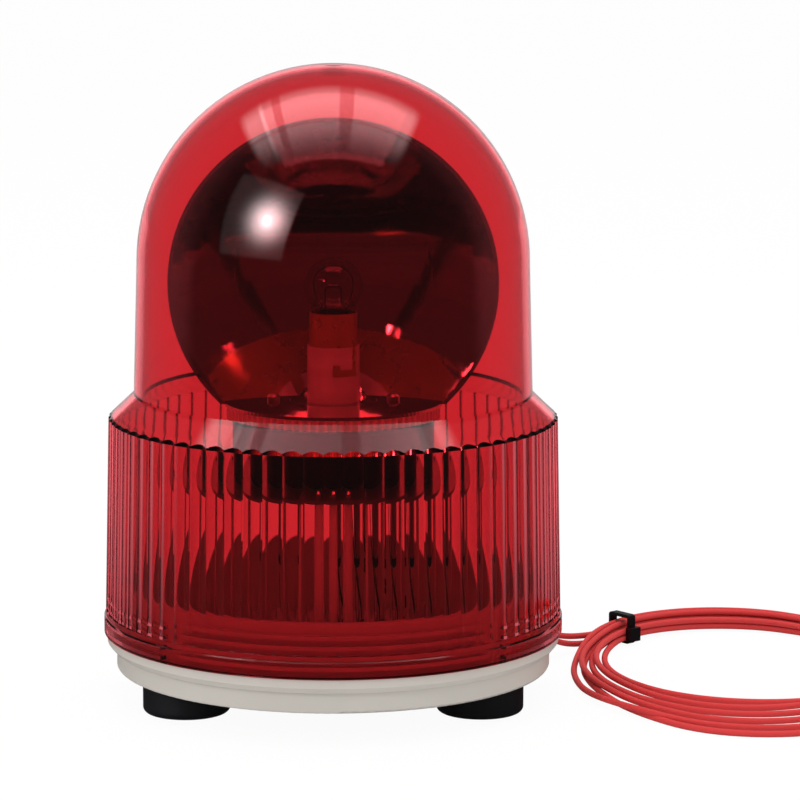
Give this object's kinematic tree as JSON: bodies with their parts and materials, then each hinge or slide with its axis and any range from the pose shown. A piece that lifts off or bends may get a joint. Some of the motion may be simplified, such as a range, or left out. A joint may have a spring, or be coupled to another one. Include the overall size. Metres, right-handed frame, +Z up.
{
  "type": "rotating beacon",
  "caption": "Magnet-mount rotating warning beacon: ribbed clear red globe over a geared revolving mirror and bayonet bulb, ivory base, flying leads.",
  "frame": {"origin": "on the beacon's axis, in the plane that its feet stand on", "axes": "+Z up the beacon's axis, -Y to the side that the reflector faces at rest, the leads leave between +X and +Y"},
  "size_m": [0.2575, 0.165, 0.198],
  "materials": {
    "clear_red": "clear red moulded plastic, gloss",
    "ivory_plastic": "ivory moulded plastic, semi-gloss",
    "black_plastic": "black moulded plastic, satin",
    "black_rubber": "black moulded rubber",
    "gasket_rubber": "soft black rubber",
    "magnet_ferrite": "dark sintered ferrite",
    "plated_steel": "bright zinc plate",
    "spring_steel": "bright spring wire",
    "white_nylon": "natural white nylon",
    "bright_reflector": "bright vacuum-plated",
    "brass": "bright nickel-free brass",
    "nickel_brass": "nickel-plated brass",
    "lamp_glass": "clear",
    "tungsten": "drawn tungsten",
    "solder": "tinned",
    "fibre": "brown laminated fibre",
    "red_insulation": "red vinyl insulation"
  },
  "bodies": {
    "base": {"magnet_boots": "black_rubber", "magnets": "magnet_ferrite", "foot_spacers": "plated_steel", "foot_bolts": "plated_steel", "foot_nuts": "plated_steel", "base_moulding": "ivory_plastic", "chassis_plate": "plated_steel", "chassis_screws": "plated_steel", "bearing_pedestal": "black_plastic", "pedestal_screws": "plated_steel", "thrust_washer": "white_nylon", "retaining_ring": "spring_steel", "motor_can": "plated_steel", "motor_end_cap": "black_plastic", "motor_terminals": "brass", "motor_screws": "plated_steel", "lampholder_tube": "nickel_brass", "lampholder_insulator": "fibre", "contact_spring": "spring_steel", "cord_grommet": "black_rubber", "terminal_block": "black_plastic", "supply_tails": "red_insulation", "motor_wires": "black_rubber", "lamp_wires": "black_rubber", "lead_a": "red_insulation", "lead_b": "red_insulation", "lead_coil": "red_insulation", "cable_tie": "black_plastic", "connector_sleeves": "red_insulation", "connector_pins": "brass"},
    "reflector": {"drive_gear": "white_nylon", "reflector_dish": "bright_reflector", "reflector_screws": "plated_steel"},
    "motor_rotor": {"motor_shaft": "spring_steel", "pinion": "brass"},
    "gasket": {"globe_gasket": "gasket_rubber"},
    "globe": {"globe": "clear_red"},
    "bulb": {"lamp_glass": "lamp_glass", "lamp_cap": "brass", "lamp_contact": "solder", "lamp_stem": "lamp_glass", "filament": "tungsten", "contact_plunger": "brass"}
  },
  "joints": [
    {"name": "reflector_spin", "type": "hinge", "parent": "base", "child": "reflector", "pos_m": [0, 0, 0.0902], "axis": [0, 0, 1], "continuous": true},
    {"name": "motor_spin", "type": "hinge", "parent": "base", "child": "motor_rotor", "pos_m": [0.01648, 0.03379, 0.08], "axis": [0, 0, 1], "continuous": true},
    {"name": "globe_twist", "type": "hinge", "parent": "base", "child": "gasket", "pos_m": [0, 0, 0.0204], "axis": [0, 0, 1], "range_deg": [0, 90]},
    {"name": "globe_lift", "type": "slide", "parent": "gasket", "child": "globe", "axis": [0, 0, 1], "range_m": [0, 0.2]},
    {"name": "bulb_push", "type": "slide", "parent": "base", "child": "bulb", "axis": [0, 0, -1], "range_m": [0, 0.0015], "stiffness_N_per_m": 1500, "springref_m": -0.003, "deforming": ["contact_spring"]}
  ],
  "couplings": [
    {"joint": "motor_spin", "follows": "reflector_spin", "ratio": -6.8333}
  ]
}
